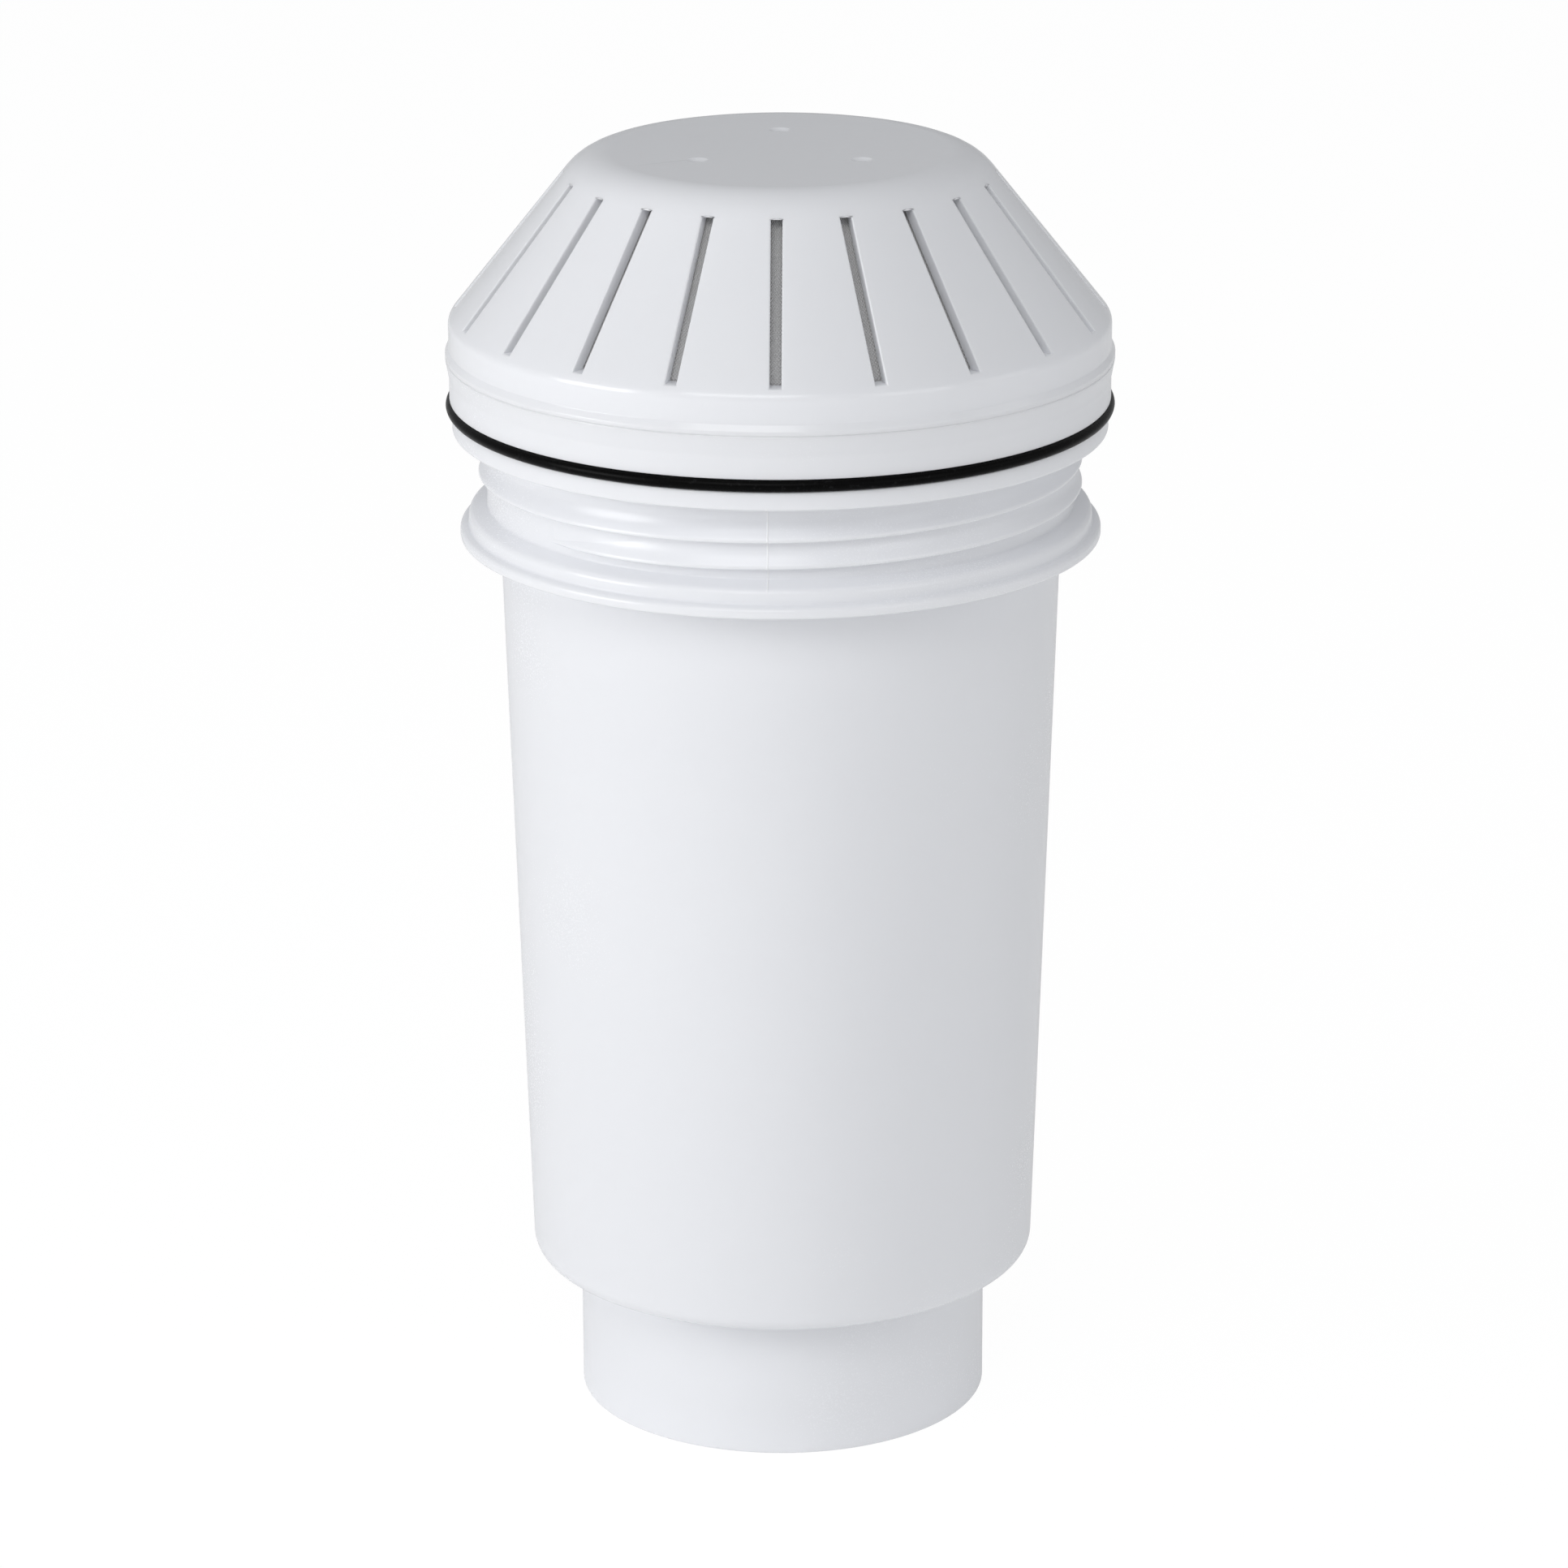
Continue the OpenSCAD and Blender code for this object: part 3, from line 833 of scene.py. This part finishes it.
inside = {
    "screen_frame": plain_plastic("frame_plastic_matte", (0.70, 0.70, 0.71, 1),
                                  (0.76, 0.76, 0.77, 1)),
    "inlet_mesh": woven("woven_inlet_nylon", 0.42, (0.55, 0.545, 0.54, 1),
                        (0.64, 0.635, 0.63, 1), threads_around=580),
    "outlet_mesh": woven("woven_outlet_nylon", 0.6, (0.5, 0.5, 0.49, 1), (0.82, 0.82, 0.81, 1)),
    "foam_distributor": fibrous("open_cell_foam", 0.6, (0.42, 0.42, 0.41, 1),
                                (0.74, 0.74, 0.72, 1), 0.4),
    "carbon_bed": granular("carbon_granules_black", 1.1, (0.008, 0.008, 0.009, 1),
                           (0.07, 0.07, 0.072, 1), 0.5, 0.5),
    "resin_bed": granular("resin_beads_amber", 0.7, (0.30, 0.15, 0.04, 1),
                          (0.62, 0.38, 0.14, 1), 0.28, 0.3),
}
for felt in ("upper_felt", "middle_felt", "lower_felt"):
    inside[felt] = fibrous(felt + "_fibres", 0.3, (0.72, 0.71, 0.67, 1),
                           (0.88, 0.87, 0.84, 1), 0.15)
for node, finish in inside.items():
    for material_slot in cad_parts[node].material_slots:
        material_slot.material = finish.material
    print(node, "wears", finish.material.name)

# %% [markdown]
# The floor is plain and white, and it sends light up at the cartridge as the white table in the
# photograph does. For the camera nearly all of its white is its own glow, so the backdrop is
# pure white while the cartridge keeps a faint shadow on it.

# %% The floor and the world
FLOOR_SEEN, FLOOR_SEEN_GLOW = 0.93, 1.03
FLOOR_LIT, FLOOR_LIT_GLOW = 0.1, 2.0
FLOOR_SIZE, FLOOR_MATT = 6, (0.9, 0.9, 0.9, 1)
AIR, AIR_TINT = 0.41, (0.97, 0.98, 1.0, 1)
WHITE = (1, 1, 1, 1)


def by_camera(tree, seen, unseen):
    """Chooses one shader for the camera's own rays and another for all the others."""
    ray = tree.nodes.new("ShaderNodeLightPath")
    mix = tree.nodes.new("ShaderNodeMixShader")
    tree.links.new(ray.outputs["Is Camera Ray"], mix.inputs[0])
    tree.links.new(unseen, mix.inputs[1])
    tree.links.new(seen, mix.inputs[2])
    return mix.outputs[0]


def glowing(tree, matt, share, strength):
    """A matt surface with a share of it that glows white."""
    glow = tree.nodes.new("ShaderNodeEmission")
    glow.inputs["Color"].default_value = WHITE
    glow.inputs["Strength"].default_value = strength
    mix = tree.nodes.new("ShaderNodeMixShader")
    mix.inputs[0].default_value = share
    tree.links.new(matt.outputs[0], mix.inputs[1])
    tree.links.new(glow.outputs[0], mix.inputs[2])
    return mix.outputs[0]


deselect()
bpy.ops.mesh.primitive_plane_add(size=FLOOR_SIZE)
floor = bpy.context.object
floor.name = "studio_floor"
floor_finish = bpy.data.materials.new("floor_white")
floor_finish.use_nodes = True
tree = floor_finish.node_tree
tree.nodes.clear()
matt = tree.nodes.new("ShaderNodeBsdfDiffuse")
matt.inputs["Color"].default_value = FLOOR_MATT
end = tree.nodes.new("ShaderNodeOutputMaterial")
floor_look = by_camera(tree, glowing(tree, matt, FLOOR_SEEN, FLOOR_SEEN_GLOW),
                       glowing(tree, matt, FLOOR_LIT, FLOOR_LIT_GLOW))
tree.links.new(floor_look, end.inputs["Surface"])
floor.data.materials.append(floor_finish)

world = bpy.data.worlds.new("studio_air")
bpy.context.scene.world = world
world.use_nodes = True
tree = world.node_tree
tree.nodes.clear()
air = tree.nodes.new("ShaderNodeBackground")
air.inputs["Color"].default_value = AIR_TINT
air.inputs["Strength"].default_value = AIR
backdrop = tree.nodes.new("ShaderNodeBackground")
backdrop.inputs["Color"].default_value = WHITE
end = tree.nodes.new("ShaderNodeOutputWorld")
tree.links.new(by_camera(tree, backdrop.outputs[0], air.outputs[0]), end.inputs["Surface"])
print("floor and world ready")

# %% [markdown]
# A large soft box stands low at the left, so the left of the body is the brightest. A box high in
# front gives the soft shade under the collar and the flange, and two weak ones at the right keep
# that side from falling into grey.

# %% The lamps
LAMP_DISTANCE, LAMP_AIM = 1.2, Vector((0, 0, 0.09))


def soft_box(name, azimuth, elevation, width, height, power):
    """A lamp in a direction in degrees, to the right of the camera and above level."""
    turn, rise = radians(azimuth), radians(elevation)
    away = Vector((cos(rise) * sin(turn), -cos(rise) * cos(turn), sin(rise)))
    deselect()
    bpy.ops.object.light_add(type="AREA", location=LAMP_AIM + away * LAMP_DISTANCE)
    lamp = bpy.context.object
    lamp.name = name
    lamp.data.shape = "RECTANGLE"
    lamp.data.size = width
    lamp.data.size_y = height
    lamp.data.energy = power
    lamp.rotation_euler = (-away).to_track_quat("-Z", "Y").to_euler()
    print(name, power, "W at", azimuth, "and", elevation, "degrees")


soft_box("left_soft_box", -65, 14, 0.6, 0.5, 5.4)
soft_box("high_soft_box", -14, 45, 0.7, 0.5, 3.0)
soft_box("right_soft_box", 85, 20, 0.5, 0.6, 0.6)
soft_box("right_front_soft_box", 46, 20, 0.6, 0.6, 1.3)
